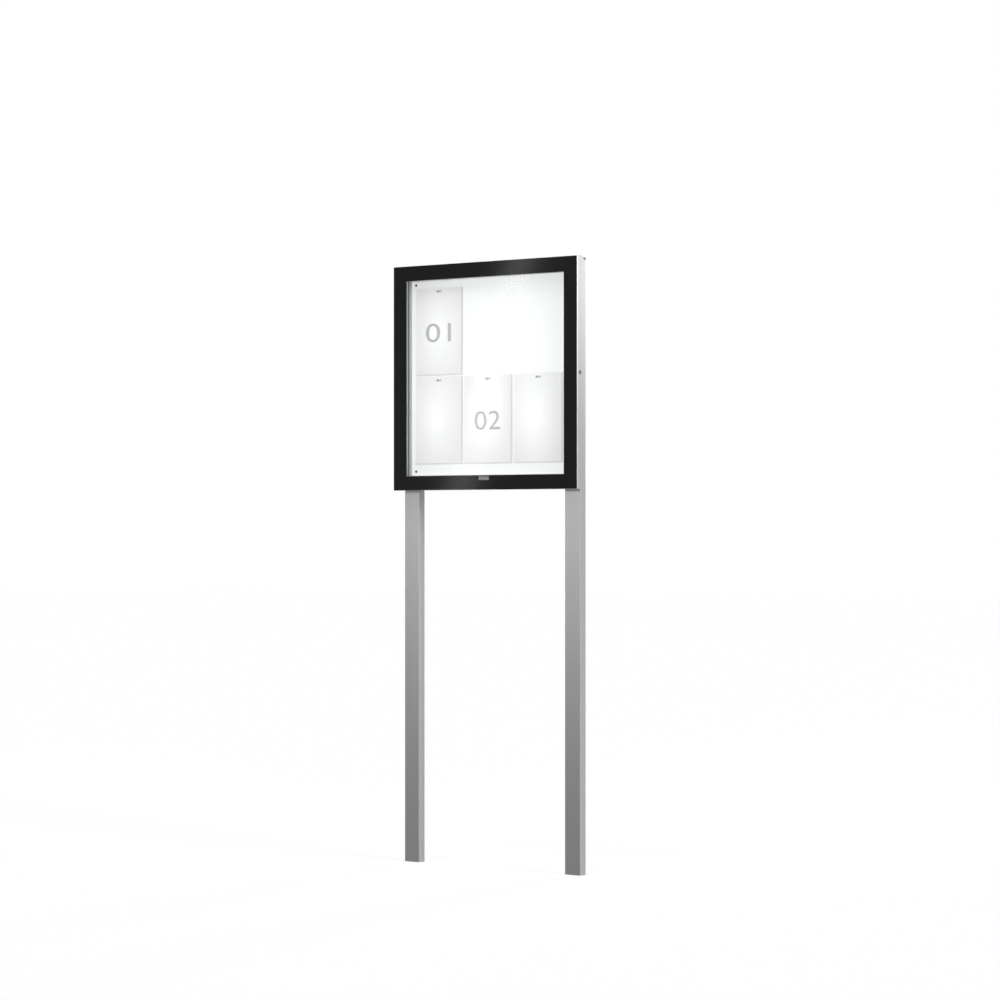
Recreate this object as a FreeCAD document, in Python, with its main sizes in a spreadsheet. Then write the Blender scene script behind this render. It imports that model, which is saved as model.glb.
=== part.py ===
import FreeCAD, Part
import math
import os
import Sketcher

# Lockable notice board on two posts, in millimetres.
# X runs to the right along the board, -Y is the front and Z is up.
# The origin lies on the ground, midway between the posts and on their centre plane.

doc = FreeCAD.newDocument("NoticeBoard")
sheet = doc.addObject("Spreadsheet::Sheet", "Sizes")

driving_sizes = {
    # sheets that the board holds, and the room round them
    "notice_width": 210,
    "notice_height": 297,
    "notice_thickness": 0.3,
    "notice_columns": 3,
    "notice_rows": 2,
    "notice_gap_x": 6,
    "notice_gap_z": 4,
    "margin_left": 18,
    "margin_right": 26,
    "margin_top": 26.7,
    "margin_bottom": 37.3,
    # case and its place
    "case_depth": 33.5,
    "case_bottom": 1266,
    "stile_width": 56,
    "rail_width": 50,
    "case_wall": 2,
    "case_web": 1.8,
    "edge_round": 0.8,
    "ledge_depth": 18,
    # slot for sliding nuts in the back of the case section
    "slot_centre": 30,
    "slot_mouth": 8.6,
    "slot_lip": 2,
    "channel_width": 14,
    "channel_depth": 5.5,
    # back panel in its groove
    "panel_thickness": 1,
    "panel_groove": 7,
    "panel_lip": 1.4,
    "panel_play": 0.1,
    "panel_edge_gap": 1,
    # door
    "glass_thickness": 4,
    "glass_corner": 1.5,
    "flange_thickness": 2.8,
    "flange_width": 15,
    "door_frame_depth": 6.2,
    "door_wall": 1.5,
    "door_gap": 0.4,
    # corner cleats
    "cleat_arm": 48,
    "cleat_width": 16,
    "cleat_play": 0.2,
    "door_cleat_arm": 62,
    "door_cleat_width": 14,
    # seal between door and case
    "seal_width": 9,
    "seal_inset": 0.8,
    "seal_gap": 0.3,
    # posts and their caps
    "post_width": 64,
    "post_depth": 30,
    "post_wall": 2.5,
    "post_round": 1.5,
    "post_inset": 17.5,
    "post_drop": 3.3,
    "cap_thickness": 6,
    "cap_bevel": 1.2,
    "cap_plug": 16,
    "cap_wall": 2,
    "cap_play": 0.2,
    # bolts from the posts into the case
    "standoff": 4.5,
    "bolt_radius": 4,
    "bolt_play": 0.05,
    "bolt_hole_play": 0.5,
    "bolt_tip_gap": 0.3,
    "bolt_across_flats": 13,
    "bolt_head": 4.4,
    "bolt_flange_radius": 8.5,
    "bolt_flange": 1.6,
    "spacer_width": 36,
    "spacer_height": 24,
    "nut_length": 14,
    "nut_thickness": 5,
    "nut_play": 0.4,
    # full-length hinge on the left side
    "hinge_leaf": 1.2,
    "hinge_pin_radius": 1.25,
    "hinge_running_gap": 0.05,
    "hinge_side_gap": 0.3,
    "hinge_knuckles": 12,
    "knuckle_gap": 0.3,
    "leaf_end": 5,
    "case_leaf_width": 14,
    "door_leaf_width": 13.5,
    "rivet_head_radius": 2.8,
    "rivet_head": 1,
    "rivet_count": 5,
    "rivet_end": 85,
    # lock in the right side of the case
    "lock_setback": 14.6,
    "lock_radius": 6,
    "lock_length": 13.5,
    "lock_hole_play": 0.1,
    "rim_radius": 7.2,
    "rim_height": 1.5,
    "lock_nut_across_flats": 13.8,
    "lock_nut_height": 2.5,
    "plug_radius": 4.4,
    "plug_play": 0.05,
    "spindle_radius": 3.4,
    "keyway_width": 1.4,
    "keyway_height": 6,
    "keyway_depth": 9,
    "hook_inset": 17.5,
    "hook_thickness": 2,
    "hook_hub_radius": 4,
    "hook_inner": 6.5,
    "hook_outer": 8.6,
    "hook_tip_angle": -102,
    "hook_root_angle": 5,
    "hook_screw_radius": 3,
    "hook_screw_head": 1.8,
    "slot_play": 0.5,
    "window_margin": 2.4,
    # fixing holes in the panel, closed by plugs
    "hole_margin_x": 19,
    "hole_margin_z": 14,
    "hole_radius": 2.75,
    "plug_head_radius": 3.6,
    "plug_head": 1.2,
    "plug_fit": 0.05,
    "plug_tail": 1.2,
    # magnets on the notices
    "magnet_width": 20,
    "magnet_height": 7,
    "magnet_thickness": 3,
    "magnet_drop": 12,
}

for row, (alias, value) in enumerate(driving_sizes.items(), start=1):
    sheet.set(f"A{row}", alias.replace("_", " "))
    sheet.set(f"B{row}", str(value))
    sheet.setAlias(f"B{row}", alias)
doc.recompute()


def size(name):
    return f"Sizes.{name}"


# Places worked out from the driving sizes, as expressions.
# Depths are counted back from the outer face of the glass.
face_y = "(-(Sizes.post_depth / 2 + Sizes.standoff + Sizes.case_depth))"
notice_pitch_x = "(Sizes.notice_width + Sizes.notice_gap_x)"
notice_pitch_z = "(Sizes.notice_height + Sizes.notice_gap_z)"
opening_width = (
    f"(Sizes.margin_left + Sizes.notice_columns * {notice_pitch_x}"
    " - Sizes.notice_gap_x + Sizes.margin_right)"
)
opening_height = (
    f"(Sizes.margin_bottom + Sizes.notice_rows * {notice_pitch_z}"
    " - Sizes.notice_gap_z + Sizes.margin_top)"
)
case_width = f"({opening_width} + 2 * Sizes.stile_width)"
case_height = f"({opening_height} + 2 * Sizes.rail_width)"
half_width = f"({case_width} / 2)"
half_height = f"({case_height} / 2)"
centre_z = f"(Sizes.case_bottom + {half_height})"
post_x = f"({half_width} - Sizes.post_inset - Sizes.post_width / 2)"
post_top = f"(Sizes.case_bottom + {case_height} - Sizes.post_drop - Sizes.cap_thickness)"
flange_back = "(Sizes.glass_thickness + Sizes.flange_thickness)"
door_back = "(Sizes.glass_thickness + Sizes.door_frame_depth)"
case_front = "(Sizes.glass_thickness + Sizes.flange_thickness + Sizes.door_gap)"
leaf_back = "(Sizes.glass_thickness + Sizes.flange_thickness + Sizes.hinge_leaf)"
panel_front = "(Sizes.case_depth - Sizes.panel_lip - Sizes.panel_play - Sizes.panel_thickness)"
notice_front = f"({panel_front} - Sizes.notice_thickness)"
barrel_radius = "(Sizes.hinge_pin_radius + Sizes.hinge_running_gap + Sizes.hinge_leaf)"
barrel_x = f"(-({barrel_radius} + Sizes.hinge_side_gap))"
barrel_depth = f"({flange_back} + {barrel_radius})"
knuckle_pitch = f"({case_height} / Sizes.hinge_knuckles)"
bolt_z = f"({half_height} - Sizes.slot_centre)"


def plane_of(body, role):
    for feature in body.Origin.OriginFeatures:
        if feature.Role == role:
            return feature
    raise ValueError(role)


def new_body(name):
    body = doc.addObject("PartDesign::Body", name)
    body.Label = name
    return body


def place(body, x="0", y="0", z="0", turn_about_y=0):
    body.Placement = FreeCAD.Placement(
        FreeCAD.Vector(0, 0, 0), FreeCAD.Rotation(FreeCAD.Vector(0, 1, 0), turn_about_y)
    )
    for axis, expression in (("x", x), ("y", y), ("z", z)):
        body.setExpression(f"Placement.Base.{axis}", expression)


def sketch_on(body, name, role, offset="0"):
    sketch = body.newObject("Sketcher::SketchObject", name)
    sketch.AttachmentSupport = [(plane_of(body, role), "")]
    sketch.MapMode = "FlatFace"
    if offset != "0":
        sketch.setExpression("AttachmentOffset.Base.z", offset)
    return sketch


def number(sketch, expression):
    value = sketch.evalExpression(expression)
    return float(getattr(value, "Value", value))


def pin_point(sketch, geometry, end, x, y):
    for kind, axis, expression in (("DistanceX", -2, x), ("DistanceY", -1, y)):
        if expression == "0":
            sketch.addConstraint(Sketcher.Constraint("PointOnObject", geometry, end, axis))
            continue
        value = number(sketch, expression)
        index = sketch.addConstraint(Sketcher.Constraint(kind, -1, 1, geometry, end, value))
        sketch.setExpression(f"Constraints[{index}]", expression)


def add_polygon(sketch, corners):
    first = sketch.GeometryCount
    points = [
        FreeCAD.Vector(number(sketch, x), number(sketch, y), 0) for x, y in corners
    ]
    count = len(points)
    for i, point in enumerate(points):
        sketch.addGeometry(Part.LineSegment(point, points[(i + 1) % count]), False)
    for i in range(count):
        after = first + (i + 1) % count
        sketch.addConstraint(Sketcher.Constraint("Coincident", first + i, 2, after, 1))
    for i, (x, y) in enumerate(corners):
        pin_point(sketch, first + i, 1, x, y)


def add_rectangle(sketch, left, low, right, high):
    add_polygon(sketch, [(left, low), (right, low), (right, high), (left, high)])


def add_circle(sketch, x, y, radius):
    centre = FreeCAD.Vector(number(sketch, x), number(sketch, y), 0)
    value = number(sketch, radius)
    circle = sketch.addGeometry(Part.Circle(centre, FreeCAD.Vector(0, 0, 1), value), False)
    index = sketch.addConstraint(Sketcher.Constraint("Radius", circle, value))
    sketch.setExpression(f"Constraints[{index}]", radius)
    pin_point(sketch, circle, 3, x, y)


def add_hexagon(sketch, x, y, across_flats):
    # two of its flats face along the sketch's x
    flat = f"({across_flats} / 2)"
    corner = f"({across_flats} / sqrt(3))"
    add_polygon(
        sketch,
        [
            (f"({x} + {flat})", f"({y} - {corner} / 2)"),
            (f"({x} + {flat})", f"({y} + {corner} / 2)"),
            (x, f"({y} + {corner})"),
            (f"({x} - {flat})", f"({y} + {corner} / 2)"),
            (f"({x} - {flat})", f"({y} - {corner} / 2)"),
            (x, f"({y} - {corner})"),
        ],
    )


def add_arc_band(sketch, inner, outer, start, end):
    # the part of a ring round the sketch's origin between two directions in degrees
    a, b = [math.radians(number(sketch, angle)) for angle in (start, end)]
    arcs = []
    for radius in (outer, inner):
        value = number(sketch, radius)
        circle = Part.Circle(FreeCAD.Vector(0, 0, 0), FreeCAD.Vector(0, 0, 1), value)
        arc = sketch.addGeometry(Part.ArcOfCircle(circle, a, b), False)
        sketch.addConstraint(Sketcher.Constraint("Coincident", arc, 3, -1, 1))
        index = sketch.addConstraint(Sketcher.Constraint("Radius", arc, value))
        sketch.setExpression(f"Constraints[{index}]", radius)
        arcs.append(arc)
    for end_of_arc, angle, direction in ((1, a, start), (2, b, end)):
        points = [sketch.getPoint(arc, end_of_arc) for arc in reversed(arcs)]
        line = sketch.addGeometry(Part.LineSegment(*points), False)
        sketch.addConstraint(Sketcher.Constraint("Coincident", line, 1, arcs[1], end_of_arc))
        sketch.addConstraint(Sketcher.Constraint("Coincident", line, 2, arcs[0], end_of_arc))
        index = sketch.addConstraint(Sketcher.Constraint("Angle", line, angle))
        sketch.setExpression(f"Constraints[{index}]", f"{direction} * 1 deg")


def pad(body, sketch, length, reverse=False):
    feature = body.newObject("PartDesign::Pad", sketch.Name + "Pad")
    feature.Profile = sketch
    feature.setExpression("Length", length)
    feature.Reversed = reverse
    body.Tip = feature
    return feature


def pocket(body, sketch, length=None, reverse=False, both_ways=False):
    doc.recompute()
    before = body.Shape.Volume
    feature = body.newObject("PartDesign::Pocket", sketch.Name + "Pocket")
    feature.Profile = sketch
    if length is None:
        feature.Type = "ThroughAll"
    else:
        feature.setExpression("Length", length)
    feature.Midplane = both_ways
    feature.Reversed = reverse
    body.Tip = feature
    doc.recompute()
    if body.Shape.Volume > before - 1e-3:
        raise RuntimeError(f"{feature.Name} cuts nothing")
    return feature


def dress_edges(body, kind, setting, value, choose):
    doc.recompute()
    tip = body.Tip
    names = [f"Edge{i}" for i, edge in enumerate(tip.Shape.Edges, start=1) if choose(edge)]
    feature = body.newObject(f"PartDesign::{kind}", body.Name + kind)
    feature.Base = (tip, names)
    feature.setExpression(setting, value)
    body.Tip = feature


def round_edges(body, radius, choose):
    dress_edges(body, "Fillet", "Radius", radius, choose)


def bevel_edges(body, width, choose):
    dress_edges(body, "Chamfer", "Size", width, choose)


def runs_along(edge, axis):
    if len(edge.Vertexes) != 2:
        return False
    step = edge.Vertexes[1].Point - edge.Vertexes[0].Point
    return step.Length > 1e-6 and abs(abs(step[axis]) - step.Length) < 1e-6


def linear_copies(body, feature, sketch, direction, spacing, count):
    pattern = body.newObject("PartDesign::LinearPattern", sketch.Name + "Pattern")
    pattern.Originals = [feature]
    pattern.Direction = (plane_of(body, direction), [""])
    pattern.setExpression("Length", f"{spacing} * ({count} - 1)")
    pattern.setExpression("Occurrences", count)
    body.Tip = pattern
    return pattern


# Case section, in its own plane: x inwards from the outer side, y back from the glass
def case_section(sketch, width, wall_front):
    slot_left = "(Sizes.slot_centre - Sizes.slot_mouth / 2)"
    slot_right = "(Sizes.slot_centre + Sizes.slot_mouth / 2)"
    channel_left = "(Sizes.slot_centre - Sizes.channel_width / 2)"
    channel_right = "(Sizes.slot_centre + Sizes.channel_width / 2)"
    lip_front = "(Sizes.case_depth - Sizes.slot_lip)"
    channel_front = "(Sizes.case_depth - Sizes.slot_lip - Sizes.channel_depth)"
    groove_front = f"({panel_front} - Sizes.panel_play)"
    groove_back = "(Sizes.case_depth - Sizes.panel_lip)"
    groove_floor = f"({width} - Sizes.panel_groove)"
    add_polygon(
        sketch,
        [
            ("0", wall_front),
            (size("case_wall"), wall_front),
            (size("case_wall"), size("ledge_depth")),
            (width, size("ledge_depth")),
            (width, groove_front),
            (groove_floor, groove_front),
            (groove_floor, groove_back),
            (width, groove_back),
            (width, size("case_depth")),
            (slot_right, size("case_depth")),
            (slot_right, lip_front),
            (channel_right, lip_front),
            (channel_right, channel_front),
            (channel_left, channel_front),
            (channel_left, lip_front),
            (slot_left, lip_front),
            (slot_left, size("case_depth")),
            ("0", size("case_depth")),
        ],
    )
    hollow_front = "(Sizes.ledge_depth + Sizes.case_web)"
    hollow_back = "(Sizes.case_depth - Sizes.case_web)"
    add_polygon(
        sketch,
        [
            (size("case_wall"), hollow_front),
            (f"({channel_left} - Sizes.case_web)", hollow_front),
            (f"({channel_left} - Sizes.case_web)", hollow_back),
            (size("case_wall"), hollow_back),
        ],
    )
    add_polygon(
        sketch,
        [
            (channel_left, hollow_front),
            (f"({width} - Sizes.case_web)", hollow_front),
            (f"({width} - Sizes.case_web)", f"({groove_front} - Sizes.case_web)"),
            (f"({groove_floor} - Sizes.case_web)", f"({groove_front} - Sizes.case_web)"),
            (f"({groove_floor} - Sizes.case_web)", hollow_back),
            (f"({channel_right} + Sizes.case_web)", hollow_back),
            (f"({channel_right} + Sizes.case_web)", f"({channel_front} - Sizes.case_web)"),
            (channel_left, f"({channel_front} - Sizes.case_web)"),
        ],
    )


def mitre_ends(body, name, own_width, other_width, length):
    # the cut runs from the outer corner to the inner corner at each end
    sketch = sketch_on(body, name + "Mitre", "XZ_Plane")
    reach = 3
    deep = f"({own_width} * {reach})"
    rise = f"({other_width} * {reach})"
    add_polygon(sketch, [("0", "0"), (deep, "0"), (deep, rise)])
    add_polygon(sketch, [("0", length), (deep, f"({length} - {rise})"), (deep, length)])
    return pocket(body, sketch, None, both_ways=True)


sides = {
    "left": {"turn": 0, "x": f"(-{half_width})", "z": size("case_bottom")},
    "top": {"turn": 90, "x": f"(-{half_width})", "z": f"(Sizes.case_bottom + {case_height})"},
    "right": {"turn": 180, "x": half_width, "z": f"(Sizes.case_bottom + {case_height})"},
    "bottom": {"turn": 270, "x": half_width, "z": size("case_bottom")},
}


def ring_member(prefix, side, section):
    upright = side in ("left", "right")
    own = size("stile_width") if upright else size("rail_width")
    other = size("rail_width") if upright else size("stile_width")
    length = case_height if upright else case_width
    name = f"{prefix}_{side}"
    body = new_body(name)
    place(body, sides[side]["x"], face_y, sides[side]["z"], sides[side]["turn"])
    sketch = sketch_on(body, name + "Section", "XY_Plane")
    section(sketch, own)
    pad(body, sketch, length)
    mitre_ends(body, name, own, other, length)
    return body


def case_member(side):
    # the left wall stands back to let the hinge leaf lie between door and case
    if side == "left":
        wall_front = f"({leaf_back} + Sizes.hinge_side_gap)"
    else:
        wall_front = case_front
    body = ring_member("case", side, lambda sketch, own: case_section(sketch, own, wall_front))
    round_edges(body, size("edge_round"), lambda edge: runs_along(edge, 2) and edge.BoundBox.XMax < 1e-6)
    return body


def door_section(sketch, width):
    add_polygon(
        sketch,
        [
            ("0", size("glass_thickness")),
            (width, size("glass_thickness")),
            (width, door_back),
            (size("flange_width"), door_back),
            (size("flange_width"), flange_back),
            ("0", flange_back),
        ],
    )
    add_rectangle(
        sketch,
        "(Sizes.flange_width + Sizes.door_wall)",
        "(Sizes.glass_thickness + Sizes.door_wall)",
        f"({width} - Sizes.door_wall)",
        f"({door_back} - Sizes.door_wall)",
    )


case_bodies = {side: case_member(side) for side in sides}
door_bodies = {side: ring_member("door", side, door_section) for side in sides}


# Lock hole through the case side, and the milled window behind it where the hook swings
def cut_for_lock(body):
    hole = sketch_on(body, "LockHole", "YZ_Plane")
    add_circle(hole, size("lock_setback"), half_height, "(Sizes.lock_radius + Sizes.lock_hole_play)")
    pocket(body, hole, size("case_wall"), reverse=True)
    window = sketch_on(body, "HookWindow", "XZ_Plane", "(-Sizes.ledge_depth)")
    swing = "(Sizes.hook_outer + Sizes.window_margin)"
    add_rectangle(
        window,
        size("case_wall"),
        f"({half_height} - {swing})",
        "(Sizes.slot_centre - Sizes.channel_width / 2 - Sizes.case_web)",
        f"({half_height} + {swing})",
    )
    pocket(body, window, size("case_web"))


# Slot in the back of the door frame that the hook's arc enters
def cut_for_hook(body):
    to_back = f"(Sizes.lock_setback - {door_back})"
    to_front = f"({to_back} + Sizes.door_wall)"
    low = f"(sqrt(Sizes.hook_inner^2 - {to_front}^2) - Sizes.slot_play)"
    high = f"(sqrt(Sizes.hook_outer^2 - {to_back}^2) + Sizes.slot_play)"
    slot = sketch_on(body, "HookSlot", "XZ_Plane", f"(-({door_back}))")
    add_rectangle(
        slot,
        "(Sizes.hook_inset - Sizes.slot_play)",
        f"({half_height} + {low})",
        "(Sizes.hook_inset + Sizes.hook_thickness + Sizes.slot_play)",
        f"({half_height} + {high})",
    )
    pocket(body, slot, size("door_wall"), reverse=True)


cut_for_lock(case_bodies["right"])
cut_for_hook(door_bodies["right"])


def board_body(name):
    # bodies set out from the middle of the board, on the plane of the glass
    body = new_body(name)
    place(body, "0", face_y, centre_z)
    return body


def depth_sketch(body, name, depth):
    # a sketch facing the front at a depth behind the glass
    return sketch_on(body, name, "XZ_Plane", f"(-({depth}))")


def signed(sign, expression):
    return f"(-({expression}))" if sign < 0 else f"({expression})"


four_corners = [(-1, -1), (1, -1), (1, 1), (-1, 1)]


def glass():
    body = board_body("door_glass")
    sketch = depth_sketch(body, "GlassOutline", "0")
    add_rectangle(
        sketch, f"(-{half_width})", f"(-{half_height})", half_width, half_height
    )
    pad(body, sketch, size("glass_thickness"), reverse=True)
    round_edges(body, size("glass_corner"), lambda edge: runs_along(edge, 1))


# places of the fixing holes in the back panel
hole_x = f"({half_width} - Sizes.stile_width - Sizes.hole_margin_x)"
hole_z = f"({half_height} - Sizes.rail_width - Sizes.hole_margin_z)"


def back_panel():
    body = board_body("back_panel")
    sketch = depth_sketch(body, "PanelOutline", panel_front)
    reach_x = f"({half_width} - Sizes.stile_width + Sizes.panel_groove - Sizes.panel_edge_gap)"
    reach_z = f"({half_height} - Sizes.rail_width + Sizes.panel_groove - Sizes.panel_edge_gap)"
    add_rectangle(sketch, f"(-{reach_x})", f"(-{reach_z})", reach_x, reach_z)
    for sign_x, sign_z in four_corners:
        add_circle(sketch, signed(sign_x, hole_x), signed(sign_z, hole_z), size("hole_radius"))
    pad(body, sketch, size("panel_thickness"), reverse=True)


def discs(body, name, depth, length, radius, x, z):
    sketch = depth_sketch(body, name, depth)
    for sign_x, sign_z in four_corners:
        add_circle(sketch, signed(sign_x, x), signed(sign_z, z), radius)
    pad(body, sketch, length, reverse=True)


def hole_plugs():
    body = board_body("hole_plugs")
    head_front = f"({panel_front} - Sizes.plug_head)"
    stem = "(Sizes.hole_radius - Sizes.plug_fit)"
    discs(body, "PlugHeads", head_front, size("plug_head"), size("plug_head_radius"), hole_x, hole_z)
    stem_length = "(Sizes.panel_thickness + Sizes.plug_tail)"
    discs(body, "PlugStems", panel_front, stem_length, stem, hole_x, hole_z)


def add_corner_angle(sketch, sign_x, sign_z, near, width_x, width_z, arm):
    # an L lying in a corner of the ring, set out from the middle of the board
    edge_x = f"({half_width} - {near})"
    edge_z = f"({half_height} - {near})"
    points = [
        (edge_x, edge_z),
        (f"({edge_x} - {arm})", edge_z),
        (f"({edge_x} - {arm})", f"({edge_z} - {width_z})"),
        (f"({edge_x} - {width_x})", f"({edge_z} - {width_z})"),
        (f"({edge_x} - {width_x})", f"({edge_z} - {arm})"),
        (edge_x, f"({edge_z} - {arm})"),
    ]
    add_polygon(sketch, [(signed(sign_x, x), signed(sign_z, z)) for x, z in points])


def case_cleats():
    body = board_body("case_corner_cleats")
    width = size("cleat_width")
    near = "(Sizes.case_wall + Sizes.cleat_play)"
    sketch = depth_sketch(body, "CleatOutline", "Sizes.ledge_depth + Sizes.case_web + Sizes.cleat_play")
    for sign_x, sign_z in four_corners:
        add_corner_angle(sketch, sign_x, sign_z, near, width, width, size("cleat_arm"))
    thickness = "(Sizes.case_depth - Sizes.ledge_depth - 2 * Sizes.case_web - 2 * Sizes.cleat_play)"
    pad(body, sketch, thickness, reverse=True)


def door_cleats():
    body = board_body("door_corner_cleats")
    near = "(Sizes.flange_width + Sizes.door_wall + Sizes.cleat_play)"
    sketch = depth_sketch(
        body, "DoorCleatOutline", "Sizes.glass_thickness + Sizes.door_wall + Sizes.cleat_play"
    )
    width = size("door_cleat_width")
    for sign_x, sign_z in four_corners:
        add_corner_angle(sketch, sign_x, sign_z, near, width, width, size("door_cleat_arm"))
    thickness = "(Sizes.door_frame_depth - 2 * Sizes.door_wall - 2 * Sizes.cleat_play)"
    pad(body, sketch, thickness, reverse=True)


def door_seal():
    # four lengths on the case ledge, butted with a hair's gap at the corners
    body = board_body("door_seal")
    sketch = depth_sketch(body, "SealOutline", f"{door_back} + Sizes.seal_gap")
    inner_x = f"({half_width} - Sizes.stile_width + Sizes.seal_inset)"
    inner_z = f"({half_height} - Sizes.rail_width + Sizes.seal_inset)"
    outer_x = f"({inner_x} + Sizes.seal_width)"
    outer_z = f"({inner_z} + Sizes.seal_width)"
    short_x = f"({inner_x} - Sizes.seal_gap)"
    add_rectangle(sketch, f"(-{outer_x})", f"(-{outer_z})", f"(-{inner_x})", outer_z)
    add_rectangle(sketch, inner_x, f"(-{outer_z})", outer_x, outer_z)
    add_rectangle(sketch, f"(-{short_x})", inner_z, short_x, outer_z)
    add_rectangle(sketch, f"(-{short_x})", f"(-{outer_z})", short_x, f"(-{inner_z})")
    pad(body, sketch, f"(Sizes.ledge_depth - {door_back} - Sizes.seal_gap)", reverse=True)


glass()
back_panel()
hole_plugs()
case_cleats()
door_cleats()
door_seal()


# Posts: rectangular tube with holes for the case bolts, and a cap pushed into the top
def add_centred_rectangle(sketch, width, depth):
    add_rectangle(
        sketch, f"(-({width}) / 2)", f"(-({depth}) / 2)", f"(({width}) / 2)", f"(({depth}) / 2)"
    )


def post(name, sign):
    body = new_body(name)
    place(body, signed(sign, post_x))
    outside = sketch_on(body, name + "Outside", "XY_Plane")
    add_centred_rectangle(outside, size("post_width"), size("post_depth"))
    pad(body, outside, post_top)
    round_edges(body, size("post_round"), lambda edge: runs_along(edge, 2))
    inside = sketch_on(body, name + "Inside", "XY_Plane")
    add_centred_rectangle(
        inside, "Sizes.post_width - 2 * Sizes.post_wall", "Sizes.post_depth - 2 * Sizes.post_wall"
    )
    pocket(body, inside, None, both_ways=True)
    holes = sketch_on(body, name + "Holes", "XZ_Plane")
    for vertical in (-1, 1):
        add_circle(
            holes, "0", f"({centre_z} + {signed(vertical, bolt_z)})",
            "(Sizes.bolt_radius + Sizes.bolt_hole_play)",
        )
    pocket(body, holes, None, both_ways=True)


def post_cap(name, sign):
    body = new_body(name)
    place(body, signed(sign, post_x), "0", post_top)
    lid = sketch_on(body, name + "Lid", "XY_Plane")
    add_centred_rectangle(lid, size("post_width"), size("post_depth"))
    pad(body, lid, size("cap_thickness"))
    round_edges(body, size("post_round"), lambda edge: runs_along(edge, 2))
    bevel_edges(body, size("cap_bevel"), lambda edge: edge.BoundBox.ZMin > 1e-6)
    tongue = sketch_on(body, name + "Tongue", "XY_Plane")
    inside_width = "(Sizes.post_width - 2 * Sizes.post_wall - 2 * Sizes.cap_play)"
    inside_depth = "(Sizes.post_depth - 2 * Sizes.post_wall - 2 * Sizes.cap_play)"
    add_centred_rectangle(tongue, inside_width, inside_depth)
    add_centred_rectangle(
        tongue, f"{inside_width} - 2 * Sizes.cap_wall", f"{inside_depth} - 2 * Sizes.cap_wall"
    )
    pad(body, tongue, size("cap_plug"), reverse=True)


for side_name, sign in (("left", -1), ("right", 1)):
    post(f"{side_name}_post", sign)
    post_cap(f"{side_name}_post_cap", sign)


# Bolts through the posts into sliding nuts in the case's back slots
nut_back = "(Sizes.case_depth - Sizes.slot_lip)"
nut_front = "(Sizes.case_depth - Sizes.slot_lip - Sizes.nut_thickness)"
post_back = "(Sizes.case_depth + Sizes.standoff + Sizes.post_depth)"


def spacers():
    body = board_body("post_spacers")
    sketch = depth_sketch(body, "SpacerOutline", size("case_depth"))
    half_wide = "(Sizes.spacer_width / 2)"
    half_high = "(Sizes.spacer_height / 2)"
    for sign_x, sign_z in four_corners:
        x = signed(sign_x, post_x)
        z = signed(sign_z, bolt_z)
        add_rectangle(
            sketch, f"({x} - {half_wide})", f"({z} - {half_high})",
            f"({x} + {half_wide})", f"({z} + {half_high})",
        )
        add_circle(sketch, x, z, "(Sizes.bolt_radius + Sizes.bolt_hole_play)")
    pad(body, sketch, size("standoff"), reverse=True)


def sliding_nuts():
    body = board_body("sliding_nuts")
    sketch = depth_sketch(body, "NutOutline", nut_front)
    half_nut = "(Sizes.nut_length / 2)"
    half_channel = "(Sizes.channel_width / 2 - Sizes.nut_play)"
    for sign_x, sign_z in four_corners:
        x = signed(sign_x, post_x)
        z = signed(sign_z, bolt_z)
        add_rectangle(
            sketch, f"({x} - {half_nut})", f"({z} - {half_channel})",
            f"({x} + {half_nut})", f"({z} + {half_channel})",
        )
        add_circle(sketch, x, z, "(Sizes.bolt_radius + Sizes.bolt_play)")
    pad(body, sketch, size("nut_thickness"), reverse=True)


def case_bolts():
    body = board_body("case_bolts")
    shank_front = f"({nut_front} + Sizes.bolt_tip_gap)"
    shank = f"({post_back} - {shank_front})"
    discs(body, "BoltShank", shank_front, shank, size("bolt_radius"), post_x, bolt_z)
    flange = size("bolt_flange")
    discs(body, "BoltFlange", post_back, flange, size("bolt_flange_radius"), post_x, bolt_z)
    head = depth_sketch(body, "BoltHead", f"{post_back} + {flange}")
    for sign_x, sign_z in four_corners:
        add_hexagon(head, signed(sign_x, post_x), signed(sign_z, bolt_z), size("bolt_across_flats"))
    pad(body, head, size("bolt_head"), reverse=True)


spacers()
sliding_nuts()
case_bolts()


# Full-length hinge: each leaf has its rolled knuckles, every second one along the pin
def hinge_frame(name):
    body = new_body(name)
    place(body, f"(-{half_width})", face_y, size("case_bottom"))
    return body


def hinge_leaf(name, first, strip, tab):
    # strip and tab are rectangles in the hinge's section; the tab joins a knuckle to the strip
    body = hinge_frame(name)
    strip_sketch = sketch_on(body, name + "Strip", "XY_Plane", size("leaf_end"))
    add_rectangle(strip_sketch, *strip)
    pad(body, strip_sketch, f"({case_height} - 2 * Sizes.leaf_end)")
    start = f"({first} * {knuckle_pitch} + Sizes.knuckle_gap / 2)"
    length = f"({knuckle_pitch} - Sizes.knuckle_gap)"
    tab_sketch = sketch_on(body, name + "Tab", "XY_Plane", start)
    add_rectangle(tab_sketch, *tab)
    tab_pad = pad(body, tab_sketch, length)
    barrel_sketch = sketch_on(body, name + "Barrel", "XY_Plane", start)
    add_circle(barrel_sketch, barrel_x, barrel_depth, barrel_radius)
    barrel_pad = pad(body, barrel_sketch, length)
    pattern = body.newObject("PartDesign::LinearPattern", name + "Knuckles")
    pattern.Originals = [tab_pad, barrel_pad]
    pattern.Direction = (plane_of(body, "Z_Axis"), [""])
    pattern.setExpression("Length", f"({knuckle_pitch} * (Sizes.hinge_knuckles - 2))")
    pattern.setExpression("Occurrences", "Sizes.hinge_knuckles / 2")
    body.Tip = pattern
    bore = sketch_on(body, name + "Bore", "XY_Plane")
    add_circle(bore, barrel_x, barrel_depth, "(Sizes.hinge_pin_radius + Sizes.hinge_running_gap)")
    pocket(body, bore, None, both_ways=True)
    return body


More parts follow.
